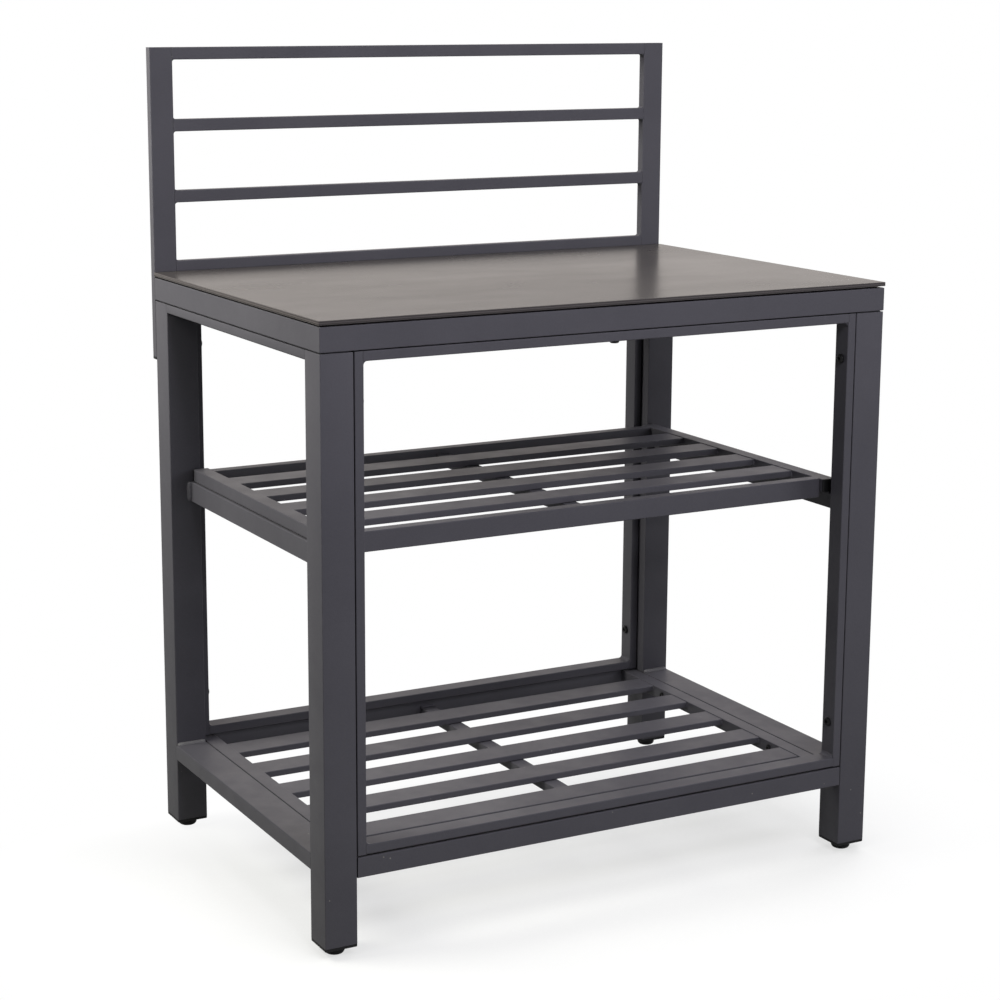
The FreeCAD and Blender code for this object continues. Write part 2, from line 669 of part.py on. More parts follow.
def make_welds():
    """Weld beads that show: angle to leg, leg to bottom rail, and inner corners of the bolted frames."""
    beads = []
    front_face, rear_face = f"({FRONT} + leg_size)", f"({BACK} - leg_size)"
    support_level = f"({SUPPORT_TOP} - support_height)"
    outer_faces = ((f"({LEFT} + support_inset)", 1, 2), (f"({RIGHT} - support_inset)", 0, 3))
    for x, front_turn, rear_turn in outer_faces:
        for turns, y in ((front_turn, front_face), (rear_turn, rear_face)):
            spot = (x, y, support_level)
            beads.append(corner_bead("bead", Z, turns, "support_height", spot, "support_weld_size"))
    across = "(leg_size - 2 * edge_radius)"
    for x in (f"({LEFT} + edge_radius)", f"({RIGHT} - leg_size + edge_radius)"):
        beads.append(corner_bead("bead", X, 0, across, (x, front_face, "lower_shelf_top")))
        beads.append(corner_bead("bead", X, 1, across, (x, rear_face, "lower_shelf_top")))
    deep = "(frame_depth - 2 * edge_radius)"
    inner_left = f"({INNER_LEFT} + frame_face)"
    inner_right = f"({INNER_LEFT} + {INNER_WIDTH} - frame_face)"
    low = f"({FRAME_BASE} + frame_face)"
    high = f"({FRAME_TOP} - frame_face)"
    corners = ((0, inner_left, low), (3, inner_right, low), (1, inner_left, high), (2, inner_right, high))
    for y in (f"({FRONT} + edge_radius)", f"({BACK} - frame_depth + edge_radius)"):
        for turns, x, z in corners:
            beads.append(corner_bead("bead", Y, turns, deep, (x, y, z)))
    group("weld_beads", beads)


def drill_tubes():
    """Cut the bolt and nut holes into the tubes that take them."""
    for label, cylinders in holes.items():
        tool = cylinders[0] if len(cylinders) == 1 else join(f"{label}_holes", cylinders)
        nodes[label] = cut(f"{label}_drilled", nodes[label], tool)


def check_and_export():
    """Stop on any failed object or bad shape, then write one file for each piece."""
    doc.recompute()
    failed = [thing.Label for thing in doc.Objects if "Invalid" in thing.State or "Error" in thing.State]
    if failed:
        raise RuntimeError("failed objects: " + ", ".join(failed))
    for label, thing in nodes.items():
        if thing.Shape.isNull() or not thing.Shape.isValid():
            raise RuntimeError("bad shape: " + label)
        for other in doc.Objects:
            if other.Label == label and other is not thing:
                other.Label = label + "_blank"
        thing.Label = label
    os.makedirs("parts", exist_ok=True)
    for label, thing in nodes.items():
        thing.Shape.exportStep(f"parts/{label}.step")
    print(len(nodes), "nodes,", sum(len(thing.Shape.Solids) for thing in nodes.values()), "solids")


fill_sheet()
make_legs()
make_side_rails()
make_shelf_supports()
make_bolted_frames()
make_apron()
make_worktop()
lower_slat_space = make_lower_shelf()
make_middle_shelf()
make_rail_back()
make_leg_caps_and_feet()
make_fasteners(lower_slat_space)
make_welds()
drill_tubes()
check_and_export()
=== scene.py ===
"""Looks of an open outdoor kitchen table: powder coated tubes, a laminate worktop and black plastic feet.

Everything is in metres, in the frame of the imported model: X to the right, Y to the back, Z up.
"""

import json
import math

import bmesh
import bpy
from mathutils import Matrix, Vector


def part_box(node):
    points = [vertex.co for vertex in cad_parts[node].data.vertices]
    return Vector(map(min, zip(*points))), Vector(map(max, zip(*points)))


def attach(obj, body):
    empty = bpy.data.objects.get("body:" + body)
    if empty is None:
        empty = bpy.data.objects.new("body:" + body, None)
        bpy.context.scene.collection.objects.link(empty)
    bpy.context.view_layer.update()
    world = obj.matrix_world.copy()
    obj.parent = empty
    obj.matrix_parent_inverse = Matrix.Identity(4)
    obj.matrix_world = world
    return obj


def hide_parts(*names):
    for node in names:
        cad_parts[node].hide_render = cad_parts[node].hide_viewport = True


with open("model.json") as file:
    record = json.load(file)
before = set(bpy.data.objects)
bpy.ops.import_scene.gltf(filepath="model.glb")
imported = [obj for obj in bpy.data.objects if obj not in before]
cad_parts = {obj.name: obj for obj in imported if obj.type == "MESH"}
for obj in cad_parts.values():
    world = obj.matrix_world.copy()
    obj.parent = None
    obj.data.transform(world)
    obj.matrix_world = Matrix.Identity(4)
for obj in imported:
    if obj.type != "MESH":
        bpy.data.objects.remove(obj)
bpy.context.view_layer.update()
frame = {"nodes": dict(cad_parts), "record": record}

MM = 0.001
AXIS_X = Vector((1, 0, 0))
AXIS_Y = Vector((0, 1, 0))
AXIS_Z = Vector((0, 0, 1))

# Camera, from a fit to the edges of the legs, worktop, shelves and rails. Focal length in image pixels.
IMAGE_PX = 1000
FOCAL_PX = 2239.9
LENS_CENTRE_PX = (434.7, 450.0)
SENSOR_MM = 36.0
CAMERA_PLACE = (-1.6854, -3.0150, 1.3184)
CAMERA_YAW = -27.265
CAMERA_PITCH = -11.209

# Ends and sides of the table, its four corners, and how many slats and rails it has.
ENDS = ("front", "rear")
SIDES = ("left", "right")
CORNERS = [(end, side) for end in ENDS for side in SIDES]
MIDDLE_SLATS = 4
LOWER_SLATS = 5
BACK_RAILS = 4

# Rounded long edges of the tube stock, and the groove under the apron: how deep and how high it is.
TUBE_EDGE = 1.5 * MM
GROOVE = (3.2 * MM, 1.5 * MM)

# Rounding of upright corners, and easing of the edges round a top and round a bottom.
SLAB_CORNER = 2.0 * MM
SLAB_EASE = (0.9 * MM, 0.5 * MM)
LEG_EASE = (0.6 * MM, 0.2 * MM)
RAIL_EASE = (0.6 * MM, TUBE_EDGE)
CRISP_CORNER = 0.1 * MM
CRISP_EASE = (0.1 * MM, 0.1 * MM)
LEG_CAP_CORNER = 2.0 * MM
LEG_CAP_EASE = (0.3 * MM, 1.4 * MM)
POST_CAP_CORNER = 1.5 * MM
POST_CAP_EASE = (0.2 * MM, 1.0 * MM)

# Sizes of the welds, and the length of one ripple.
FRAME_WELD = 6.0 * MM
RAIL_WELD = 4.0 * MM
LEG_CORNER_WELD = 3.5 * MM
SUPPORT_BEAD = 6.5 * MM
LEG_BEAD = 4.5 * MM
SLAT_BEAD = 2.6 * MM
CROSSBAR_BEAD = 3.0 * MM
BEAD_RIPPLE = 2.2 * MM

# Bolts: head diameter, head height and shank diameter, and where they sit on the tubes.
FRAME_BOLT = (14.0 * MM, 4.4 * MM, 8.0 * MM)
SMALL_BOLT = (10.5 * MM, 3.1 * MM, 6.0 * MM)
FRAME_BOLT_INSET = 70.0 * MM
POST_BOLT_INSET = 20.0 * MM
POST_BOLT_PITCH = 50.0 * MM
POST_BOLTS = 2
SHANK_LENGTH = 22.0 * MM

# Button head, in shares of its radius and height: rim, start of the dome, crown and hexagon socket.
HEAD_RIM = ((0.97, 0.0), (1.0, 0.06))
HEAD_DOME = (0.66, 0.42)
HEAD_CROWN = (0.62, 1.0)
HEAD_SOCKET = ((0.50, 0.98), (0.47, 0.90), (0.46, 0.30))

# Glide feet: radius and height round the sole in millimetres, and the screw above it.
SOLE_MM = (
    (9.5, 0.0), (11.2, 0.25), (12.6, 1.0), (13.8, 2.3), (14.6, 4.0), (14.95, 6.0), (14.95, 8.2),
    (14.6, 9.0), (13.4, 9.4), (11.0, 9.55), (9.2, 9.9), (8.1, 10.6), (7.9, 12.1), (6.5, 12.2),
)
STEM_RADIUS = 4.0 * MM
STEM_BASE = 12.1 * MM
THREAD_PITCH = 1.25 * MM
THREAD_DEPTH = 0.55 * MM

# End plugs, inset and depth in millimetres: round the flange, and along the boss with its ribs.
PLUG_FLANGE_MM = ((2.4, 0.0), (1.0, 0.25), (0.35, 0.8), (0.05, 1.6), (0.05, 3.0))
PLUG_BOSS_MM = ((1.8, 0.0), (1.7, 2.5), (2.1, 3.0), (2.1, 5.5), (1.7, 6.0), (2.1, 8.5), (2.4, 12.0))

# Colours, linear.
COAT_DARK = (0.0430, 0.0415, 0.0500, 1)
COAT_LIGHT = (0.0560, 0.0540, 0.0640, 1)
COAT_WORN = (0.0950, 0.0930, 0.1000, 1)
# Painted highlight: lighter tones for the leg beads, standing in for the glint they catch.
HIGHLIT_BEAD_DARK = (0.0700, 0.0680, 0.0760, 1)
HIGHLIT_BEAD_LIGHT = (0.1300, 0.1270, 0.1350, 1)
DUST = (0.200, 0.185, 0.170, 1)
SPECK = (0.170, 0.162, 0.150, 1)
LAMINATE_DARK = (0.024, 0.0209, 0.0204, 1)
LAMINATE_LIGHT = (0.037, 0.0325, 0.0317, 1)
CORE_DARK = (0.0275, 0.0242, 0.0248, 1)
CORE_LIGHT = (0.0560, 0.0492, 0.0505, 1)
# Painted shade: the tone that narrow seams and gaps are darkened to.
SEAM_SHADE_TONE = (0.0080, 0.0078, 0.0085, 1)
PLASTIC_DARK = (0.0080, 0.0080, 0.0085, 1)
PLASTIC_LIGHT = (0.0140, 0.0140, 0.0145, 1)
OXIDE_DARK = (0.0040, 0.0040, 0.0043, 1)
OXIDE_LIGHT = (0.0085, 0.0082, 0.0082, 1)
ZINC_DARK = (0.380, 0.380, 0.390, 1)
ZINC_LIGHT = (0.560, 0.555, 0.545, 1)
RUBBER_DARK = (0.0100, 0.0100, 0.0100, 1)
RUBBER_LIGHT = (0.0170, 0.0165, 0.0160, 1)
WHITE = (1, 1, 1, 1)

# How much the worn tone shows on rubbed edges, how far the gloss varies, and how dull dust makes it.
COAT_WEAR = 0.35
LAMINATE_WEAR = 0.25
PLASTIC_WEAR = 0.15
COAT_GLOSS_RANGE = 0.10
PLASTIC_GLOSS_RANGE = 0.12
METAL_GLOSS_RANGE = 0.15
LAMINATE_GLOSS = (0.22, 0.29)
DUST_DULLNESS = 0.25

# Where masks begin and end: the value that gives nothing, and the value that gives all.
NOISE_SPAN = (0.3, 0.7)
MINERAL_SPAN = (0.35, 0.7)
EDGE_SPAN = (0.97, 0.72)
PATCH_SPAN = (0.48, 0.66)
LEVEL_SPAN = (0.75, 0.98)
DUST_SPAN = (0.3, 0.75)
SEAM_SPAN = (0.66, 0.28)
FLAT_SPAN = (0.55, 0.8)
PLY_SPAN = (0.2, 0.9)
BACKDROP_SPAN = (0.5, 0.95)
FLOOR_SHADE_SPAN = (0.50, 0.97)

# Studio: the even light, what reflections show, and the floor.
EVEN_LIGHT = 0.23
BACKDROP_SIDE = (0.46, 0.888, 0.0)
WARM_BACKDROP = (0.820, 0.764, 0.730, 1)
ROOM_IN_FRONT = (0.20, 0.20, 0.225, 1)
GLOSSY_FLOOR = 0.16
FLOOR_HALF = 12.0
FLOOR_DROP = 0.2 * MM
FLOOR_PAINT = (0.90, 0.90, 0.90, 1)
FLOOR_BOUNCE = (0.16, 0.16, 0.16, 1)
# Painted shade on the floor near the table: its tone, and how far it reaches and fades out.
FLOOR_SHADE = (0.78, 0.78, 0.78, 1)
FLOOR_SHADE_REACH = 0.6
FLOOR_SHADE_FADE = 0.30
FLOOR_PLAIN_NEAR = 0.84
FLOOR_PLAIN_REACH = 0.35
SHADOW_CENTRE = (-0.03, -0.20, 0.0)
SHADOW_REACH = (0.52, 0.22, 1.0)

# Soft lamps: name, place, target, width, height, watts, spread in degrees and colour.
LAMP_WARM = (1.0, 1.0, 0.880)
LAMP_PLAIN = (1.0, 1.0, 1.03)
SOFTBOXES = (
    ("left_softbox", (-1.75, 0.42, 1.85), (-0.2, 0.1, 1.3), 1.0, 1.0, 54.0, 125.0, LAMP_WARM),
    ("front_softbox", (-0.15, -2.3, 2.7), (0.1, 0.3, 2.0), 1.4, 1.0, 98.0, 180.0, LAMP_PLAIN),
    ("right_softbox", (3.6, -4.6, 1.9), (0.0, 0.0, 0.6), 2.6, 2.0, 115.0, 180.0, LAMP_PLAIN),
    ("right_fill", (1.6, 0.6, 1.4), (0.2, 0.0, 0.6), 1.0, 1.0, 25.0, 180.0, LAMP_PLAIN),
)


def put(tree, kind, inputs=None, **settings):
    """Add a node. Its settings are set first, then its inputs are linked or given their values."""
    made = tree.nodes.new(kind)
    for name, value in settings.items():
        setattr(made, name, value)
    for key, value in (inputs or {}).items():
        if isinstance(value, bpy.types.NodeSocket):
            tree.links.new(value, made.inputs[key])
        else:
            made.inputs[key].default_value = value
    return made


def math_node(tree, operation, first, second=None):
    inputs = {0: first} if second is None else {0: first, 1: second}
    return put(tree, "ShaderNodeMath", inputs, operation=operation).outputs[0]


def map_range(tree, value, low, high, to_low=0.0, to_high=1.0):
    inputs = {"Value": value, "From Min": low, "From Max": high, "To Min": to_low, "To Max": to_high}
    return put(tree, "ShaderNodeMapRange", inputs, clamp=True).outputs[0]


def blend(tree, first, second, shares):
    """Sum of two values, each times its share."""
    return math_node(tree, "ADD", math_node(tree, "MULTIPLY", first, shares[0]),
                     math_node(tree, "MULTIPLY", second, shares[1]))


def upright_share(tree):
    """How far the surface looks up: 1 on a level top, -1 on an underside."""
    normal = put(tree, "ShaderNodeNewGeometry").outputs["Normal"]
    return put(tree, "ShaderNodeSeparateXYZ", {0: normal}).outputs[2]


def mix_colour(tree, factor, first, second):
    return put(tree, "ShaderNodeMix", {0: factor, 6: first, 7: second}, data_type="RGBA").outputs[2]


def object_place(tree):
    """Place on the piece at rest, in metres."""
    return put(tree, "ShaderNodeTexCoord").outputs["Object"]


def noise(tree, place, scale, detail=3.0, roughness=0.55):
    inputs = {"Vector": place, "Scale": scale, "Detail": detail, "Roughness": roughness}
    return put(tree, "ShaderNodeTexNoise", inputs).outputs[0]


def new_group(name, inputs, outputs):
    """Shader node group with float inputs and outputs. Returns its tree, the given values and its end."""
    tree = bpy.data.node_groups.new(name, "ShaderNodeTree")
    for title, value in inputs.items():
        socket = tree.interface.new_socket(name=title, in_out="INPUT", socket_type="NodeSocketFloat")
        socket.default_value = value
    for title in outputs:
        tree.interface.new_socket(name=title, in_out="OUTPUT", socket_type="NodeSocketFloat")
    start = put(tree, "NodeGroupInput")
    end = put(tree, "NodeGroupOutput")
    return tree, start.outputs, end


def coat_grain_group():
    """Grain of a sprayed or moulded skin: small pebbles on a soft orange peel, and slow drifts of tone."""
    sizes = {"Grain": 1100.0, "Peel": 180.0}
    tree, given, end = new_group("coat_grain", sizes, ("Height", "Tone", "Gloss"))
    place = object_place(tree)
    pebbles = noise(tree, place, given["Grain"], detail=2.0, roughness=0.6)
    peel = noise(tree, place, given["Peel"], detail=2.0, roughness=0.5)
    height = blend(tree, pebbles, peel, shares=(0.65, 0.55))
    drift = noise(tree, place, scale=7.0, detail=4.0, roughness=0.6)
    fine = noise(tree, place, scale=620.0, detail=2.0, roughness=0.6)
    tone = blend(tree, drift, fine, shares=(0.5, 0.5))
    gloss = noise(tree, place, scale=24.0, detail=4.0)
    tree.links.new(height, end.inputs["Height"])
    tree.links.new(map_range(tree, tone, *NOISE_SPAN), end.inputs["Tone"])
    tree.links.new(map_range(tree, gloss, *NOISE_SPAN), end.inputs["Gloss"])
    return tree


def edge_wear_group():
    """Mask of outer edges where the skin is rubbed thin, broken up along the edge."""
    tree, given, end = new_group("edge_wear", {"Width": 0.0015, "Breakup": 90.0}, ("Mask",))
    rounded = put(tree, "ShaderNodeBevel", {"Radius": given["Width"]}, samples=4).outputs[0]
    flat = put(tree, "ShaderNodeNewGeometry").outputs["True Normal"]
    inputs = {0: rounded, 1: flat}
    along = put(tree, "ShaderNodeVectorMath", inputs, operation="DOT_PRODUCT").outputs["Value"]
    edge = map_range(tree, along, *EDGE_SPAN)
    broken = noise(tree, object_place(tree), given["Breakup"], detail=4.0, roughness=0.65)
    patches = map_range(tree, broken, *PATCH_SPAN)
    tree.links.new(math_node(tree, "MULTIPLY", edge, patches), end.inputs["Mask"])
    return tree


def settled_dust_group():
    """Mask of fine dust on faces that look up, thin and cloudy."""
    thinnest = 0.35
    tree, given, end = new_group("settled_dust", {"Amount": 0.3, "Cloud": 22.0}, ("Mask",))
    upward = map_range(tree, upright_share(tree), *LEVEL_SPAN)
    cloud = noise(tree, object_place(tree), given["Cloud"], detail=5.0, roughness=0.6)
    cloud = map_range(tree, cloud, *DUST_SPAN, to_low=thinnest)
    mask = math_node(tree, "MULTIPLY", math_node(tree, "MULTIPLY", upward, cloud), given["Amount"])
    tree.links.new(mask, end.inputs["Mask"])
    return tree


def splash_specks_group():
    """Mask of sparse small pale specks near the floor, where rain splashes grit against the tubes."""
    cells_per_metre = 95.0
    tree, given, end = new_group("splash_specks", {"Size": 0.0011, "Reach": 0.16, "Share": 0.10}, ("Mask",))
    place = object_place(tree)
    inputs = {"Vector": place, "Scale": cells_per_metre, "Randomness": 1.0}
    cells = put(tree, "ShaderNodeTexVoronoi", inputs)
    wide = math_node(tree, "MULTIPLY", given["Size"], cells_per_metre)
    dot = math_node(tree, "LESS_THAN", cells.outputs["Distance"], wide)
    chance = put(tree, "ShaderNodeSeparateColor", {0: cells.outputs["Color"]}).outputs[0]
    chosen = math_node(tree, "LESS_THAN", chance, given["Share"])
    level = put(tree, "ShaderNodeSeparateXYZ", {0: place}).outputs[2]
    low = math_node(tree, "LESS_THAN", level, given["Reach"])
    mask = math_node(tree, "MULTIPLY", math_node(tree, "MULTIPLY", dot, chosen), low)
    tree.links.new(mask, end.inputs["Mask"])
    return tree


def painted_seam_shade_group():
    """Mask of narrow seams and gaps for painted shade: where ambient occlusion finds that little light
    reaches, the colour is darkened.
    """
    tree, given, end = new_group("painted_seam_shade", {"Reach": 0.006, "Amount": 0.8}, ("Mask",))
    shade = put(tree, "ShaderNodeAmbientOcclusion", {"Distance": given["Reach"]}, samples=6)
    deep = map_range(tree, shade.outputs["AO"], *SEAM_SPAN)
    tree.links.new(math_node(tree, "MULTIPLY", deep, given["Amount"]), end.inputs["Mask"])
    return tree


GRAIN = coat_grain_group()
WEAR = edge_wear_group()
DUSTING = settled_dust_group()
SPECKS = splash_specks_group()
SEAM_SHADE = painted_seam_shade_group()


def use_group(tree, group, **inputs):
    made = put(tree, "ShaderNodeGroup", node_tree=group)
    for name, value in inputs.items():
        made.inputs[name].default_value = value
    return made.outputs


def new_material(name):
    """Material with a Principled shader on its output. Returns material, tree and shader."""
    material = bpy.data.materials.new(name)
    material.use_nodes = True
    tree = material.node_tree
    tree.nodes.clear()
    shader = put(tree, "ShaderNodeBsdfPrincipled")
    put(tree, "ShaderNodeOutputMaterial", {"Surface": shader.outputs[0]})
    return material, tree, shader


def soft_edges(tree, radius, height, strength, depth):
    """Normal with edges rounded by a small radius, and the grain raised on it."""
    rounded = put(tree, "ShaderNodeBevel", {"Radius": radius}, samples=4).outputs[0]
    inputs = {"Height": height, "Strength": strength, "Distance": depth, "Normal": rounded}
    return put(tree, "ShaderNodeBump", inputs).outputs[0]


def rub_edges(tree, colour, width, breakup, share, under=COAT_WORN):
    """Let the worn tone show on the rubbed edges."""
    wear = use_group(tree, WEAR, Width=width, Breakup=breakup)["Mask"]
    return mix_colour(tree, math_node(tree, "MULTIPLY", wear, share), colour, under)


def settle_dust(tree, colour, amount, cloud):
    """Put dust on the level tops. Returns the colour and the mask of the dust."""
    dusty = use_group(tree, DUSTING, Amount=amount, Cloud=cloud)["Mask"]
    return mix_colour(tree, dusty, colour, DUST), dusty


def set_skin(tree, shader, colour, rough, normal):
    tree.links.new(colour, shader.inputs["Base Color"])
    tree.links.new(rough, shader.inputs["Roughness"])
    tree.links.new(normal, shader.inputs["Normal"])


def powder_coat(name, peel, strength, dust, specks, rough=0.42, dark=COAT_DARK, light=COAT_LIGHT):
    """Fine matte anthracite powder coat over steel, with painted shade in its narrow seams."""
    material, tree, shader = new_material(name)
    grain = use_group(tree, GRAIN, Grain=1150.0, Peel=peel)
    colour = mix_colour(tree, grain["Tone"], dark, light)
    colour = rub_edges(tree, colour, width=1.2 * MM, breakup=70.0, share=COAT_WEAR)
    colour, dusty = settle_dust(tree, colour, amount=dust, cloud=18.0)
    splashed = use_group(tree, SPECKS, Share=specks)["Mask"]
    colour = mix_colour(tree, splashed, colour, SPECK)
    # Painted shade: ambient occlusion darkens narrow seams and gaps.
    seam_shade = use_group(tree, SEAM_SHADE, Reach=4.0 * MM, Amount=0.85)["Mask"]
    colour = mix_colour(tree, seam_shade, colour, SEAM_SHADE_TONE)
    gloss = map_range(tree, grain["Gloss"], 0.0, 1.0, rough, rough + COAT_GLOSS_RANGE)
    gloss = math_node(tree, "ADD", gloss, math_node(tree, "MULTIPLY", dusty, DUST_DULLNESS))
    normal = soft_edges(tree, 0.5 * MM, grain["Height"], strength, depth=0.25 * MM)
    set_skin(tree, shader, colour, gloss, normal)
    return material


def laminate():
    """Compact laminate of the worktop: dark warm grey, satin, with a faint cloudy print."""
    material, tree, shader = new_material("satin_dark_laminate")
    place = object_place(tree)
    grain = use_group(tree, GRAIN, Grain=1500.0, Peel=320.0)
    stretched = put(tree, "ShaderNodeMapping", {"Vector": place, "Scale": (0.45, 1.0, 1.0)}).outputs[0]
    cloud = noise(tree, stretched, scale=9.0, detail=6.0, roughness=0.62)
    cloud = map_range(tree, cloud, *NOISE_SPAN)
    mineral = noise(tree, place, scale=150.0, detail=4.0, roughness=0.7)
    mineral = map_range(tree, mineral, *MINERAL_SPAN)
    pattern = blend(tree, cloud, mineral, shares=(0.6, 0.4))
    printed = mix_colour(tree, pattern, LAMINATE_DARK, LAMINATE_LIGHT)
    colour = mix_colour(tree, top_face_mask(tree), core_plies(tree, place), printed)
    colour, _ = settle_dust(tree, colour, amount=0.05, cloud=12.0)
    colour = rub_edges(tree, colour, width=0.8 * MM, breakup=60.0, share=LAMINATE_WEAR)
    smear = noise(tree, stretched, scale=5.0, detail=5.0, roughness=0.6)
    gloss = map_range(tree, smear, *NOISE_SPAN, *LAMINATE_GLOSS)
    normal = soft_edges(tree, 0.3 * MM, grain["Height"], strength=0.10, depth=0.08 * MM)
    set_skin(tree, shader, colour, gloss, normal)
    return material


def top_face_mask(tree):
    """One on the printed top and bottom of the slab, nothing on its sawn edges."""
    return map_range(tree, math_node(tree, "ABSOLUTE", upright_share(tree)), *FLAT_SPAN)


def core_plies(tree, place):
    """Sawn edge of the slab: dark core papers that show as thin level lines."""
    waves = {"Vector": place, "Scale": 105.0, "Distortion": 0.4, "Detail": 2.0, "Detail Scale": 3.0}
    plies = put(tree, "ShaderNodeTexWave", waves, wave_type="BANDS", bands_direction="Z").outputs["Fac"]
    return mix_colour(tree, map_range(tree, plies, *PLY_SPAN), CORE_DARK, CORE_LIGHT)


def moulded(name, dark, light, rough, grain_size, strength):
    """Black moulded plastic or rubber with a fine spark-eroded grain."""
    material, tree, shader = new_material(name)
    shader.inputs["Specular IOR Level"].default_value = 0.3
    grain = use_group(tree, GRAIN, Grain=grain_size, Peel=260.0)
    colour = mix_colour(tree, grain["Tone"], dark, light)
    colour, _ = settle_dust(tree, colour, amount=0.12, cloud=60.0)
    colour = rub_edges(tree, colour, width=0.6 * MM, breakup=140.0, share=PLASTIC_WEAR)
    gloss = map_range(tree, grain["Gloss"], 0.0, 1.0, rough, rough + PLASTIC_GLOSS_RANGE)
    normal = soft_edges(tree, 0.4 * MM, grain["Height"], strength, depth=0.15 * MM)
    set_skin(tree, shader, colour, gloss, normal)
    return material


def bare_metal(name, dark, light, rough, metallic, worn):
    """Plated or blackened steel of the fasteners."""
    material, tree, shader = new_material(name)
    shader.inputs["Metallic"].default_value = metallic
    grain = use_group(tree, GRAIN, Grain=2400.0, Peel=700.0)
    colour = mix_colour(tree, grain["Tone"], dark, light)
    colour = rub_edges(tree, colour, width=0.5 * MM, breakup=220.0, share=worn, under=ZINC_DARK)
    gloss = map_range(tree, grain["Gloss"], 0.0, 1.0, rough, rough + METAL_GLOSS_RANGE)
    normal = soft_edges(tree, 0.25 * MM, grain["Height"], strength=0.2, depth=0.05 * MM)
    set_skin(tree, shader, colour, gloss, normal)
    return material


COAT = powder_coat("anthracite_powder_coat", peel=190.0, strength=0.25, dust=0.02, specks=0.035)
WELD_COAT = powder_coat("powder_coat_over_weld", peel=320.0, strength=0.40, dust=0.03, specks=0.0)
# Painted highlight: the leg beads get a lighter coat than the rest of the frame.
HIGHLIT_BEAD_COAT = powder_coat("powder_coat_with_painted_highlight", peel=320.0, strength=0.40, dust=0.05, specks=0.0,
                        rough=0.30, dark=HIGHLIT_BEAD_DARK, light=HIGHLIT_BEAD_LIGHT)
LAMINATE = laminate()
PLASTIC = moulded("moulded_black_plastic", PLASTIC_DARK, PLASTIC_LIGHT,
                  rough=0.42, grain_size=1700.0, strength=0.25)
RUBBER = moulded("black_rubber_pad", RUBBER_DARK, RUBBER_LIGHT, rough=0.62, grain_size=900.0, strength=0.30)
OXIDE = bare_metal("blackened_steel", OXIDE_DARK, OXIDE_LIGHT, rough=0.24, metallic=0.0, worn=0.2)
ZINC = bare_metal("zinc_plated_steel", ZINC_DARK, ZINC_LIGHT, rough=0.30, metallic=1.0, worn=0.5)

FINISHES = {
    "powder_coat": COAT,
    "worktop": LAMINATE,
    "pad_rubber": RUBBER,
    "black_plastic": PLASTIC,
    "black_hardware": OXIDE,
    "zinc_hardware": ZINC,
}


def finish_nodes():
    """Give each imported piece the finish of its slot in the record."""
    for part in frame["record"]["subparts"]:
        mesh = frame["nodes"][part["node"]].data
        mesh.materials.clear()
        mesh.materials.append(FINISHES[part["material_slot"]])


def make_piece(name, bm, material, body, replaced=(), sharp=30.0):
    """Turn a bmesh into a piece that rides on a body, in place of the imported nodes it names."""
    bmesh.ops.recalc_face_normals(bm, faces=bm.faces)
    mesh = bpy.data.meshes.new(name)
    bm.to_mesh(mesh)
    bm.free()
    mesh.shade_smooth()
    mesh.set_sharp_from_angle(angle=math.radians(sharp))
    mesh.materials.append(material)
    piece = bpy.data.objects.new(name, mesh)
    bpy.context.scene.collection.objects.link(piece)
    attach(piece, body)
    if replaced:
        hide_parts(*replaced)
    return piece


def skin_rings(bm, rings):
    """Join rings of points, each as long as the next, into a skin that is closed at both ends."""
    rows = [[bm.verts.new(point) for point in ring] for ring in rings]
    count = len(rows[0])
    for near, far in zip(rows, rows[1:]):
        for k in range(count):
            bm.faces.new((near[k], near[(k + 1) % count], far[(k + 1) % count], far[k]))
    bm.faces.new(rows[0])
    bm.faces.new(rows[-1])


def sweep(bm, origin, along, across, up, sections):
    """Skin over sections: each is a distance along the run and a profile in (across, up)."""
    rings = []
    for distance, profile in sections:
        start = origin + along * distance
        rings.append([start + across * a + up * b for a, b in profile])
    skin_rings(bm, rings)


def hollow_fillet(size, steps=7):
    """Profile of a smoothed weld: it meets both faces at a tangent."""
    curve = []
    for k in range(steps + 1):
        angle = math.radians(270 - 90 * k / steps)
        curve.append((size + size * math.cos(angle), size + size * math.sin(angle)))
    return [(0, 0)] + curve


def full_bead(size, steps=7):
    """Profile of a rounded weld bead, between a flat slope and a quarter circle."""
    roundness = 0.75
    curve = []
    for k in range(steps + 1):
        angle = math.radians(90 * k / steps)
        flat = 1 - k / steps
        a = roundness * math.cos(angle) + (1 - roundness) * flat
        b = roundness * math.sin(angle) + (1 - roundness) * (1 - flat)
        curve.append((size * a, size * b))
    return [(0, 0)] + curve


def smooth_weld(bm, origin, along, across, up, size, length):
    """Weld that is ground to an even hollow."""
    sweep(bm, origin, along, across, up, [(0, hollow_fillet(size)), (length, hollow_fillet(size))])


def rippled_weld(bm, origin, along, across, up, size, length):
    """Weld bead with the scale-like ripples that each drop leaves, and rounded ends."""
    ripple_height = 0.07
    end_size = 0.55
    drops = max(3, round(length / BEAD_RIPPLE))
    stations = drops * 6
    sections = []
    for k in range(stations + 1):
        share = k / stations
        phase = (share * drops) % 1.0
        ripple = 1 - ripple_height + ripple_height * math.sqrt(max(0.0, 1 - (2 * phase - 1) ** 2))
        end = min(share, 1 - share) * length / size
        taper = end_size + (1 - end_size) * min(1.0, math.sqrt(end))
        sections.append((share * length, full_bead(size * ripple * taper)))
    sweep(bm, origin, along, across, up, sections)


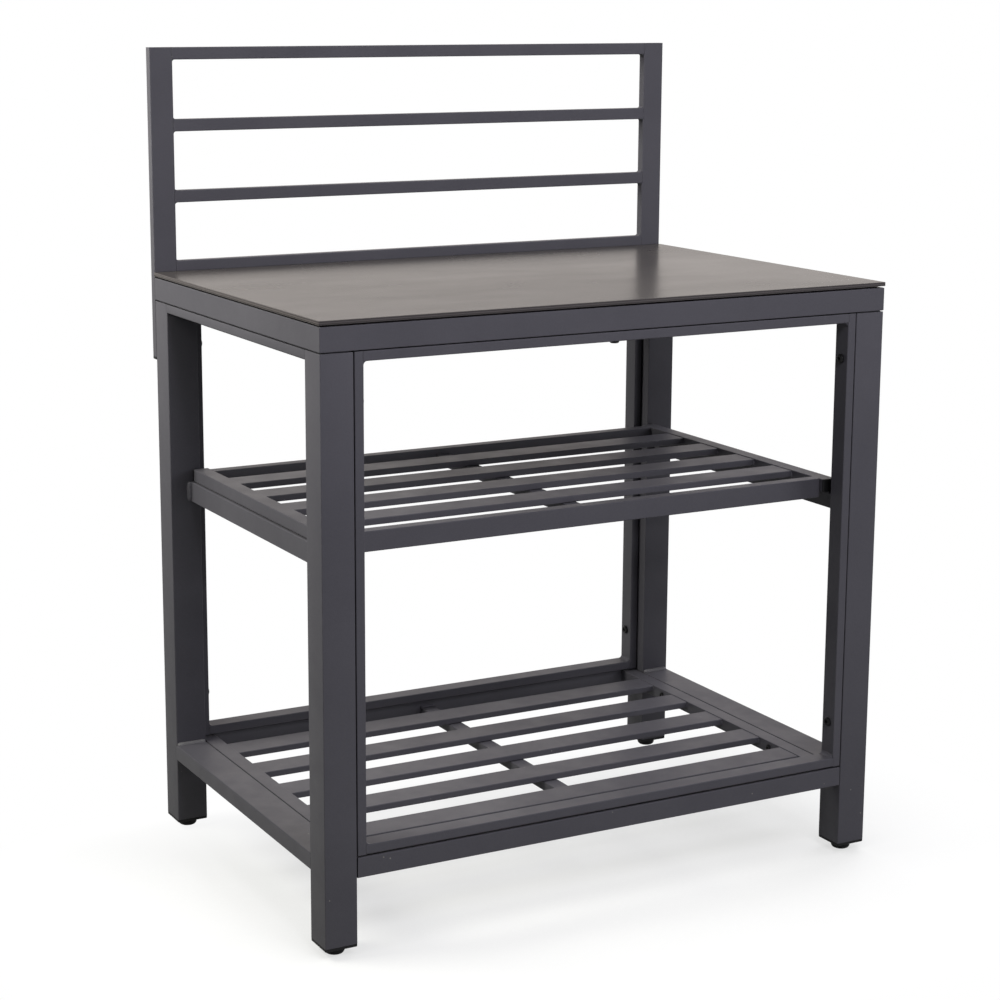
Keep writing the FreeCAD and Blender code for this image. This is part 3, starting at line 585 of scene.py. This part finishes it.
def flush_fill(bm, origin, along, inward, down, length, radius=TUBE_EDGE, steps=6):
    """Weld ground flush over the rounded edge of a tube, where the end of another tube meets its side.

    The origin lies on the flush face at the joint. Inward points over the rounded edge, down into the tube.
    """
    curve = []
    for k in range(steps + 1):
        angle = math.radians(90 * k / steps)
        curve.append((radius - radius * math.sin(angle), radius - radius * math.cos(angle)))
    profile = [(0, 0)] + [(a, b) for a, b in reversed(curve)]
    sweep(bm, origin, along, inward, down, [(0, profile), (length, profile)])


def box(node):
    """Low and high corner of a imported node."""
    low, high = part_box(node)
    return Vector(low), Vector(high)


def make_frame_welds():
    """Smoothed welds in the corners of the bolted frames, and beads at the angles and bottom rails."""
    bm = bmesh.new()
    beads = bmesh.new()
    for end in ENDS:
        left = box(f"{end}_frame_stile_left")
        right = box(f"{end}_frame_stile_right")
        low = box(f"{end}_frame_bottom_rail")
        high = box(f"{end}_frame_top_rail")
        depth = left[1].y - left[0].y - 2 * TUBE_EDGE
        y = left[0].y + TUBE_EDGE
        for x, across in ((left[1].x, AXIS_X), (right[0].x, -AXIS_X)):
            smooth_weld(bm, Vector((x, y, low[1].z)), AXIS_Y, across, AXIS_Z, FRAME_WELD, depth)
            smooth_weld(bm, Vector((x, y, high[0].z)), AXIS_Y, across, -AXIS_Z, FRAME_WELD, depth)
    for side, outward in (("left", -AXIS_X), ("right", AXIS_X)):
        angle = box(f"shelf_support_{side}")
        outer = angle[0].x if side == "left" else angle[1].x
        tall = angle[1].z - angle[0].z
        for y, inward in ((angle[0].y, AXIS_Y), (angle[1].y, -AXIS_Y)):
            start = Vector((outer, y, angle[0].z))
            rippled_weld(bm, start, AXIS_Z, outward, inward, SUPPORT_BEAD, tall)
            add_side_rail_welds(bm, beads, side, y, inward)
    make_piece("frame_welds", bm, WELD_COAT, "frame", ("weld_beads",), sharp=50.0)
    # The leg beads wear the lighter coat, a painted highlight.
    make_piece("leg_weld_beads", beads, HIGHLIT_BEAD_COAT, "frame", sharp=50.0)


def add_side_rail_welds(bm, beads, side, y, inward):
    """Bead on top of a bottom rail, and smoothed corners under both side rails, at the leg face y."""
    bottom = box(f"side_bottom_rail_{side}")
    wide = bottom[1].x - bottom[0].x - 2 * TUBE_EDGE
    start = Vector((bottom[0].x + TUBE_EDGE, y, bottom[1].z))
    rippled_weld(beads, start, AXIS_X, inward, AXIS_Z, LEG_BEAD, wide)
    for rail in (bottom, box(f"side_top_rail_{side}")):
        wide = rail[1].x - rail[0].x - 2 * TUBE_EDGE
        start = Vector((rail[0].x + TUBE_EDGE, y, rail[0].z))
        smooth_weld(bm, start, AXIS_X, inward, -AXIS_Z, LEG_CORNER_WELD, wide)


def make_shelf_welds(shelf, slats, body):
    """Small beads at both ends of each slat, and round the ends of the cross-bar, under a shelf."""
    bm = bmesh.new()
    for k in range(1, slats + 1):
        low, high = box(f"{shelf}_slat_{k}")
        tall = high.z - low.z - SLAT_BEAD
        for x, inward in ((low.x, AXIS_X), (high.x, -AXIS_X)):
            rippled_weld(bm, Vector((x, low.y, low.z)), AXIS_Z, inward, -AXIS_Y, SLAT_BEAD, tall)
            rippled_weld(bm, Vector((x, high.y, low.z)), AXIS_Z, inward, AXIS_Y, SLAT_BEAD, tall)
    low, high = box(f"{shelf}_crossbar")
    wide = high.x - low.x
    for y, inward in ((low.y, AXIS_Y), (high.y, -AXIS_Y)):
        rippled_weld(bm, Vector((low.x, y, high.z)), AXIS_X, inward, AXIS_Z, CROSSBAR_BEAD, wide)
    make_piece(f"{shelf}_welds", bm, WELD_COAT, body, sharp=50.0)


def make_rail_welds():
    """Small smoothed welds above and below each rail of the rail back, at both posts."""
    bm = bmesh.new()
    left = box("back_post_left")
    right = box("back_post_right")
    for k in range(1, BACK_RAILS + 1):
        rail = box(f"back_rail_{k}")
        y = rail[0].y + TUBE_EDGE
        depth = rail[1].y - rail[0].y - 2 * TUBE_EDGE
        for x, across in ((left[1].x, AXIS_X), (right[0].x, -AXIS_X)):
            smooth_weld(bm, Vector((x, y, rail[0].z)), AXIS_Y, across, -AXIS_Z, RAIL_WELD, depth)
            if rail[1].z < left[1].z - RAIL_WELD:
                smooth_weld(bm, Vector((x, y, rail[1].z)), AXIS_Y, across, AXIS_Z, RAIL_WELD, depth)
    make_piece("rail_back_welds", bm, WELD_COAT, "frame", sharp=50.0)


def make_flush_joints():
    """Ground joints of the frames and the rail back: front and rear faces run on without a groove."""
    bm = bmesh.new()
    joints = []
    for end in ENDS:
        for rail in (f"{end}_frame_bottom_rail", f"{end}_frame_top_rail"):
            joints.append((rail, f"{end}_frame_stile_left", f"{end}_frame_stile_right"))
    for k in range(1, BACK_RAILS + 1):
        joints.append((f"back_rail_{k}", "back_post_left", "back_post_right"))
    for rail, near, far in joints:
        low, high = box(rail)
        tall = high.z - low.z - 2 * TUBE_EDGE
        for x, inward in ((box(near)[1].x, -AXIS_X), (box(far)[0].x, AXIS_X)):
            z = low.z + TUBE_EDGE
            flush_fill(bm, Vector((x, low.y, z)), AXIS_Z, inward, AXIS_Y, tall)
            flush_fill(bm, Vector((x, high.y, z)), AXIS_Z, inward, -AXIS_Y, tall)
    for side, outward in (("left", -1), ("right", 1)):
        for rail in (f"side_top_rail_{side}", f"side_bottom_rail_{side}"):
            low, high = box(rail)
            outer = high.x if outward > 0 else low.x
            tall = high.z - low.z - 2 * TUBE_EDGE
            for y, inward in ((low.y, -AXIS_Y), (high.y, AXIS_Y)):
                start = Vector((outer, y, low.z + TUBE_EDGE))
                flush_fill(bm, start, AXIS_Z, inward, -outward * AXIS_X, tall)
    make_piece("ground_frame_joints", bm, COAT, "frame")


def make_lower_shelf_joints():
    """Ground joints on top of the lower shelf, where the side rims meet the front and rear rims."""
    bm = bmesh.new()
    for side in SIDES:
        low, high = box(f"lower_shelf_side_rim_{side}")
        wide = high.x - low.x - 2 * TUBE_EDGE
        for y, inward in ((low.y, -AXIS_Y), (high.y, AXIS_Y)):
            flush_fill(bm, Vector((low.x + TUBE_EDGE, y, high.z)), AXIS_X, inward, -AXIS_Z, wide)
    make_piece("ground_lower_shelf_joints", bm, COAT, "frame")


def make_middle_shelf_joints():
    """Ground joints on top of the middle shelf, where the front and rear rims meet the side rims."""
    bm = bmesh.new()
    for end in ENDS:
        low, high = box(f"middle_shelf_{end}_rim")
        deep = high.y - low.y - 2 * TUBE_EDGE
        for x, inward in ((low.x, -AXIS_X), (high.x, AXIS_X)):
            flush_fill(bm, Vector((x, low.y + TUBE_EDGE, high.z)), AXIS_Y, inward, -AXIS_Z, deep)
    make_piece("ground_middle_shelf_joints", bm, COAT, "middle_shelf")


def rounded_outline(low, high, inset, radius, z, steps=5):
    """Ring of points round a rectangle with rounded corners, at height z."""
    least_radius = 0.02 * MM
    reach = max(radius - inset, least_radius)
    corners = (
        (high.x - inset - reach, high.y - inset - reach, 0),
        (low.x + inset + reach, high.y - inset - reach, 90),
        (low.x + inset + reach, low.y + inset + reach, 180),
        (high.x - inset - reach, low.y + inset + reach, 270),
    )
    ring = []
    for x, y, start in corners:
        for k in range(steps + 1):
            angle = math.radians(start + 90 * k / steps)
            ring.append(Vector((x + reach * math.cos(angle), y + reach * math.sin(angle), z)))
    return ring


def eased_slab(bm, low, high, corner, ease, steps=4):
    """Flat plate with rounded upright corners, and eased edges round its top and bottom."""
    ease_top, ease_bottom = ease
    rings = []
    for k in range(steps + 1):
        angle = math.radians(90 * k / steps)
        inset = ease_bottom * (1 - math.sin(angle))
        rings.append(rounded_outline(low, high, inset, corner, low.z + ease_bottom * (1 - math.cos(angle))))
    for k in range(steps + 1):
        angle = math.radians(90 * k / steps)
        inset = ease_top * (1 - math.cos(angle))
        rings.append(rounded_outline(low, high, inset, corner, high.z - ease_top * (1 - math.sin(angle))))
    inner = 2 * corner
    rings.insert(0, rounded_outline(low, high, inner, corner, low.z))
    rings.append(rounded_outline(low, high, inner, corner, high.z))
    skin_rings(bm, rings)


def make_worktop():
    """Slab of the worktop, with slightly eased edges."""
    bm = bmesh.new()
    low, high = box("worktop_panel")
    eased_slab(bm, low, high, SLAB_CORNER, SLAB_EASE)
    make_piece("worktop_slab", bm, LAMINATE, "frame", ("worktop_panel",), sharp=40.0)


def make_end_plugs():
    """Plugs in the ends of the middle shelf's side rims: an eased flange and a boss with gripping ribs."""
    bm = bmesh.new()
    for side in SIDES:
        low, high = box(f"middle_shelf_side_rim_{side}")
        plug_low, plug_high = box("middle_shelf_end_plugs")
        for face_y, end_y, inward in ((plug_low.y, low.y, 1), (plug_high.y, high.y, -1)):
            rings = []
            for inset, depth in PLUG_FLANGE_MM:
                y = face_y + inward * min(depth * MM, abs(end_y - face_y))
                rings.append(upright_outline(low, high, inset * MM, y))
            for inset, depth in PLUG_BOSS_MM:
                rings.append(upright_outline(low, high, inset * MM, end_y + inward * depth * MM))
            skin_rings(bm, rings)
    replaced = ("middle_shelf_end_plugs",)
    make_piece("middle_shelf_plugs", bm, PLASTIC, "middle_shelf", replaced)


def upright_outline(low, high, inset, y, steps=4):
    """Ring of points round an upright rectangle with rounded corners, at depth y."""
    flat_low = Vector((low.x, low.z, 0))
    flat_high = Vector((high.x, high.z, 0))
    ring = rounded_outline(flat_low, flat_high, inset, TUBE_EDGE + inset, 0, steps)
    return [Vector((point.x, y, point.y)) for point in ring]


def make_legs():
    """Leg tubes. The plate on top is set in from the faces, which leaves a fine groove under the apron."""
    deep, tall = GROOVE
    for end, side in CORNERS:
        bm = bmesh.new()
        leg = f"leg_{end}_{side}"
        low, high = box(leg)
        shoulder = Vector((high.x, high.y, high.z - tall))
        eased_slab(bm, low, shoulder, TUBE_EDGE, LEG_EASE)
        plate_low = Vector((low.x + deep, low.y + deep, shoulder.z - tall))
        plate_high = Vector((high.x - deep, high.y - deep, high.z))
        eased_slab(bm, plate_low, plate_high, TUBE_EDGE, CRISP_EASE)
        make_piece(f"leg_tube_{end}_{side}", bm, COAT, "frame", (leg,), sharp=40.0)


def make_side_top_rails():
    """Thin rails between the leg tops, with the same groove under the apron."""
    deep, tall = GROOVE
    for side in SIDES:
        bm = bmesh.new()
        rail = f"side_top_rail_{side}"
        low, high = box(rail)
        shoulder = Vector((high.x, high.y, high.z - tall))
        eased_slab(bm, low, shoulder, CRISP_CORNER, RAIL_EASE)
        strip_low = Vector((low.x + deep, low.y, shoulder.z - tall))
        strip_high = Vector((high.x - deep, high.y, high.z))
        eased_slab(bm, strip_low, strip_high, CRISP_CORNER, CRISP_EASE)
        make_piece(f"side_rail_tube_{side}", bm, COAT, "frame", (rail,), sharp=40.0)


def make_tube_caps(name, node, tubes, corner, ease):
    """Black caps under upright tubes: flanges with a rounded lower edge, as wide as the tube."""
    bm = bmesh.new()
    base = box(node)[0].z
    for tube in tubes:
        low, high = box(tube)
        flange_low = Vector((low.x, low.y, base))
        flange_high = Vector((high.x, high.y, low.z))
        eased_slab(bm, flange_low, flange_high, corner, ease)
    make_piece(name, bm, PLASTIC, "frame", (node,))


def make_leg_caps():
    legs = [f"leg_{end}_{side}" for end, side in CORNERS]
    make_tube_caps("leg_end_caps", "leg_caps", legs, LEG_CAP_CORNER, LEG_CAP_EASE)


def make_post_caps():
    posts = [f"back_post_{side}" for side in SIDES]
    make_tube_caps("post_end_caps", "back_post_caps", posts, POST_CAP_CORNER, POST_CAP_EASE)


def hexagon_ring(radius, height, steps):
    """Ring of points on a hexagon with this corner radius."""
    ring = []
    for k in range(steps):
        angle = 2 * math.pi * k / steps
        bay = (angle % (math.pi / 3)) - math.pi / 6
        reach = radius * math.cos(math.pi / 6) / math.cos(bay)
        ring.append((reach * math.cos(angle), reach * math.sin(angle), height))
    return ring


def circle_ring(radius, height, steps):
    """Ring of points on a circle."""
    ring = []
    for k in range(steps):
        angle = 2 * math.pi * k / steps
        ring.append((radius * math.cos(angle), radius * math.sin(angle), height))
    return ring


def button_head_bolt(bm, seat, outward, stock, steps=48, dome_steps=8):
    """Bolt with a low domed head and a hexagon socket. The head stands on the seat and looks outward."""
    head, height, shank = stock
    radius = head / 2
    start_wide, start_up = HEAD_DOME
    dome = []
    for k in range(dome_steps + 1):
        angle = math.radians(80 * k / dome_steps)
        wide = start_wide + (1 - start_wide) * math.cos(angle)
        dome.append((wide, start_up + (1 - start_up) * math.sin(angle)))
    rings = [circle_ring(shank / 2, -SHANK_LENGTH, steps), circle_ring(shank / 2, 0.0, steps)]
    for wide, up in (*HEAD_RIM, *dome, HEAD_CROWN):
        rings.append(circle_ring(radius * wide, height * up, steps))
    for wide, up in HEAD_SOCKET:
        rings.append(hexagon_ring(radius * wide, height * up, steps))
    turn = outward.to_track_quat("Z", "X")
    skin_rings(bm, [[seat + turn @ Vector(point) for point in ring] for ring in rings])


def make_frame_bolts():
    """Bolts on the inner faces of the stiles, and one under each top rail."""
    bm = bmesh.new()
    for end in ENDS:
        for side, outward in (("left", AXIS_X), ("right", -AXIS_X)):
            low, high = box(f"{end}_frame_stile_{side}")
            face = high.x if side == "left" else low.x
            for z in (low.z + FRAME_BOLT_INSET, high.z - FRAME_BOLT_INSET):
                button_head_bolt(bm, Vector((face, (low.y + high.y) / 2, z)), outward, FRAME_BOLT)
        low, high = box(f"{end}_frame_top_rail")
        seat = Vector(((low.x + high.x) / 2, (low.y + high.y) / 2, low.z))
        button_head_bolt(bm, seat, -AXIS_Z, FRAME_BOLT)
    make_piece("frame_button_bolts", bm, OXIDE, "frame", ("frame_bolts",), sharp=35.0)


def make_small_bolts():
    """Bolts through the posts from behind, and through the side rims of the lower shelf."""
    bm = bmesh.new()
    for side, outward in (("left", AXIS_X), ("right", -AXIS_X)):
        low, high = box(f"back_post_{side}")
        for k in range(POST_BOLTS):
            z = low.z + POST_BOLT_INSET + k * POST_BOLT_PITCH
            button_head_bolt(bm, Vector(((low.x + high.x) / 2, high.y, z)), AXIS_Y, SMALL_BOLT)
        low, high = box(f"lower_shelf_side_rim_{side}")
        face = high.x if side == "left" else low.x
        for near, far in ((1, 2), (4, 5)):
            gap_start = box(f"lower_shelf_slat_{near}")[1].y
            gap_end = box(f"lower_shelf_slat_{far}")[0].y
            seat = Vector((face, (gap_start + gap_end) / 2, (low.z + high.z) / 2))
            button_head_bolt(bm, seat, outward, SMALL_BOLT)
    make_piece("small_button_bolts", bm, OXIDE, "frame", ("small_bolts",), sharp=35.0)


def turned(bm, centre, profile, steps=48):
    """Lathe a profile of (radius, height) round an upright axis, closed at both ends."""
    rings = []
    for radius, height in profile:
        rings.append([centre + Vector(point) for point in circle_ring(radius, height, steps)])
    skin_rings(bm, rings)


def threaded_stem(bm, centre, radius, base, length, steps=24, rows_per_pitch=4):
    """Screw thread: the crest climbs by one pitch in each turn."""
    rows = math.ceil(length / THREAD_PITCH * rows_per_pitch)
    rings = []
    for row in range(rows + 1):
        height = length * row / rows
        ring = []
        for k in range(steps):
            turn = k / steps
            phase = (height / THREAD_PITCH - turn) % 1.0
            r = radius - THREAD_DEPTH * abs(2 * phase - 1)
            angle = 2 * math.pi * turn
            ring.append(centre + Vector((r * math.cos(angle), r * math.sin(angle), base + height)))
        rings.append(ring)
    skin_rings(bm, rings)


def make_feet():
    """Glide feet: a rounded black sole, and the screw that carries it."""
    for end, side in CORNERS:
        foot = f"foot_{end}_{side}"
        low, high = box(foot)
        centre = Vector(((low.x + high.x) / 2, (low.y + high.y) / 2, low.z))
        bm = bmesh.new()
        turned(bm, centre, [(radius * MM, height * MM) for radius, height in SOLE_MM])
        sole = make_piece(f"glide_{end}_{side}", bm, PLASTIC, foot, (foot,))
        bm = bmesh.new()
        threaded_stem(bm, centre, STEM_RADIUS, STEM_BASE, high.z - low.z - STEM_BASE)
        stem = make_piece(f"glide_stem_{end}_{side}", bm, ZINC, foot)
        stem.parent = sole
        stem.matrix_parent_inverse = sole.matrix_world.inverted()


def make_studio():
    """Pale floor that runs on into a white background, and large soft lamps."""
    bm = bmesh.new()
    bmesh.ops.create_grid(bm, x_segments=1, y_segments=1, size=FLOOR_HALF)
    mesh = bpy.data.meshes.new("pale_floor")
    bm.to_mesh(mesh)
    bm.free()
    floor = bpy.data.objects.new("pale_floor", mesh)
    floor.location.z = -FLOOR_DROP
    bpy.context.scene.collection.objects.link(floor)
    mesh.materials.append(floor_material())
    make_world()
    for softbox in SOFTBOXES:
        add_softbox(*softbox)


def floor_material():
    """White floor that keeps the shadow, with a painted soft shade near the table, and is plain white
    further out.
    """
    material = bpy.data.materials.new("pale_floor")
    material.use_nodes = True
    tree = material.node_tree
    tree.nodes.clear()
    place = object_place(tree)
    inputs = {0: place, 1: SHADOW_CENTRE}
    spread = put(tree, "ShaderNodeVectorMath", inputs, operation="SUBTRACT").outputs[0]
    spread = put(tree, "ShaderNodeVectorMath", {0: spread}, operation="ABSOLUTE").outputs[0]
    inputs = {0: spread, 1: SHADOW_REACH}
    outside = put(tree, "ShaderNodeVectorMath", inputs, operation="SUBTRACT").outputs[0]
    outside = put(tree, "ShaderNodeVectorMath", {0: outside, 1: (0, 0, 0)}, operation="MAXIMUM").outputs[0]
    distance = put(tree, "ShaderNodeVectorMath", {0: outside}, operation="LENGTH").outputs["Value"]
    far = map_range(tree, distance, 0.0, FLOOR_PLAIN_REACH, FLOOR_PLAIN_NEAR, 1.0)
    inputs = {"Distance": FLOOR_SHADE_REACH}
    # Painted shade: where ambient occlusion finds the table overhead, the white that the camera sees turns
    # grey.
    open_sky = put(tree, "ShaderNodeAmbientOcclusion", inputs, samples=24).outputs["AO"]
    fade = map_range(tree, distance, 0.0, FLOOR_SHADE_FADE)
    pale = math_node(tree, "MAXIMUM", map_range(tree, open_sky, *FLOOR_SHADE_SPAN), fade)
    shade = mix_colour(tree, pale, FLOOR_SHADE, WHITE)
    rays = put(tree, "ShaderNodeLightPath").outputs
    mirrored = math_node(tree, "MAXIMUM", rays["Is Glossy Ray"], rays["Is Transmission Ray"])
    mirrored = math_node(tree, "MULTIPLY", mirrored, GLOSSY_FLOOR)
    seen = math_node(tree, "MAXIMUM", rays["Is Camera Ray"], mirrored)
    paint = mix_colour(tree, rays["Is Camera Ray"], FLOOR_BOUNCE, FLOOR_PAINT)
    matte = put(tree, "ShaderNodeBsdfDiffuse", {"Color": paint}).outputs[0]
    plain = put(tree, "ShaderNodeEmission", {"Color": shade, "Strength": 1.0}).outputs[0]
    share = math_node(tree, "MULTIPLY", far, seen)
    mixed = put(tree, "ShaderNodeMixShader", {0: share, 1: matte, 2: plain}).outputs[0]
    put(tree, "ShaderNodeOutputMaterial", {"Surface": mixed})
    return material


def make_world():
    """White for the camera, a bright backdrop and a dim room in reflections, and a weak even light."""
    world = bpy.data.worlds.new("white_studio")
    bpy.context.scene.world = world
    world.use_nodes = True
    tree = world.node_tree
    tree.nodes.clear()
    rays = put(tree, "ShaderNodeLightPath").outputs
    direction = put(tree, "ShaderNodeTexCoord").outputs["Generated"]
    inputs = {0: direction, 1: BACKDROP_SIDE}
    ahead = put(tree, "ShaderNodeVectorMath", inputs, operation="DOT_PRODUCT").outputs["Value"]
    room = mix_colour(tree, map_range(tree, ahead, *BACKDROP_SPAN), ROOM_IN_FRONT, WARM_BACKDROP)
    mirrored = math_node(tree, "MAXIMUM", rays["Is Glossy Ray"], rays["Is Transmission Ray"])
    colour = mix_colour(tree, mirrored, WHITE, room)
    seen = math_node(tree, "MAXIMUM", rays["Is Camera Ray"], mirrored)
    strength = map_range(tree, seen, 0.0, 1.0, EVEN_LIGHT, 1.0)
    back = put(tree, "ShaderNodeBackground", {"Color": colour, "Strength": strength}).outputs[0]
    put(tree, "ShaderNodeOutputWorld", {"Surface": back})


def add_softbox(name, place, target, width, height, watts, spread, colour):
    """Soft lamp that no camera and no reflection shows. A spread below 180 degrees is a grid on it."""
    lamp = bpy.data.lights.new(name, "AREA")
    lamp.shape = "RECTANGLE"
    lamp.size = width
    lamp.size_y = height
    lamp.energy = watts
    lamp.spread = math.radians(spread)
    lamp.color = colour
    holder = bpy.data.objects.new(name, lamp)
    holder.location = place
    holder.visible_camera = False
    holder.visible_glossy = False
    holder.rotation_euler = (Vector(target) - Vector(place)).to_track_quat("-Z", "Y").to_euler()
    bpy.context.scene.collection.objects.link(holder)


def make_camera():
    """Camera at the angle of the photograph."""
    data = bpy.data.cameras.new("photo_view")
    data.sensor_width = SENSOR_MM
    data.lens = FOCAL_PX * SENSOR_MM / IMAGE_PX
    data.shift_x = 0.5 - LENS_CENTRE_PX[0] / IMAGE_PX
    data.shift_y = LENS_CENTRE_PX[1] / IMAGE_PX - 0.5
    camera = bpy.data.objects.new("photo_view", data)
    camera.location = CAMERA_PLACE
    camera.rotation_euler = (math.radians(90 + CAMERA_PITCH), 0, math.radians(CAMERA_YAW))
    bpy.context.scene.collection.objects.link(camera)
    bpy.context.scene.camera = camera


finish_nodes()
make_worktop()
make_legs()
make_side_top_rails()
make_frame_welds()
make_rail_welds()
make_flush_joints()
make_lower_shelf_joints()
make_middle_shelf_joints()
make_shelf_welds("middle_shelf", MIDDLE_SLATS, "middle_shelf")
make_shelf_welds("lower_shelf", LOWER_SLATS, "frame")
make_frame_bolts()
make_small_bolts()
make_end_plugs()
make_leg_caps()
make_post_caps()
make_feet()
make_studio()
make_camera()
bpy.context.scene.view_settings.view_transform = "Standard"
